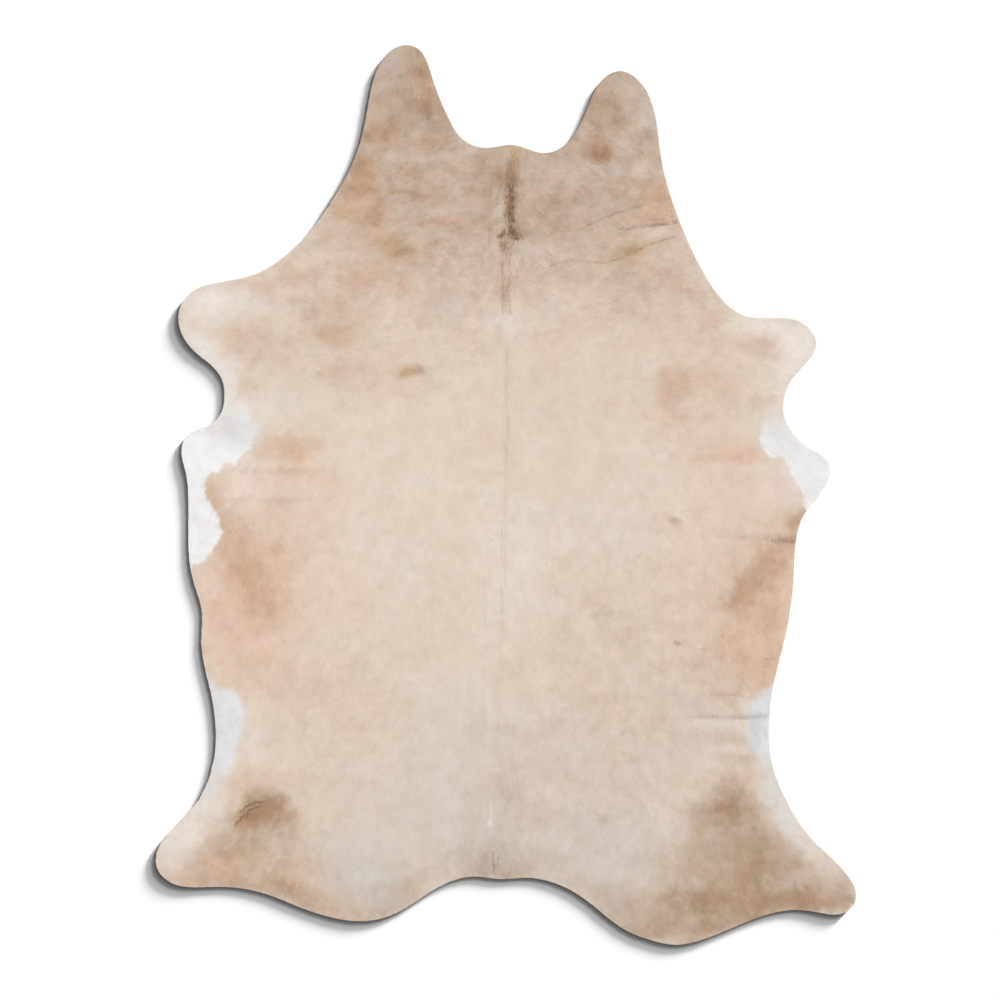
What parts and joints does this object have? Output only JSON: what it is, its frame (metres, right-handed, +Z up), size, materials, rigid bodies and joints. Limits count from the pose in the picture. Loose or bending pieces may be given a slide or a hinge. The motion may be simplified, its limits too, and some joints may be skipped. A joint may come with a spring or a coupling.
{
  "type": "cowhide",
  "caption": "Whole hair-on cowhide lying flat on the floor, with neck flaps, leg corners and a tail edge; a floor covering.",
  "frame": {"origin": "on the floor, under the middle of the hide's box", "axes": "+Y along the spine towards the neck, +X to the hide's right as seen from above, +Z up from the floor through the hair side"},
  "size_m": [1.7498, 2.2488, 0.0086],
  "materials": {
    "hide": "short cream and tan hair lying flat on suede leather, matt"
  },
  "bodies": {
    "root": {"cowhide": "hide"}
  },
  "joints": []
}
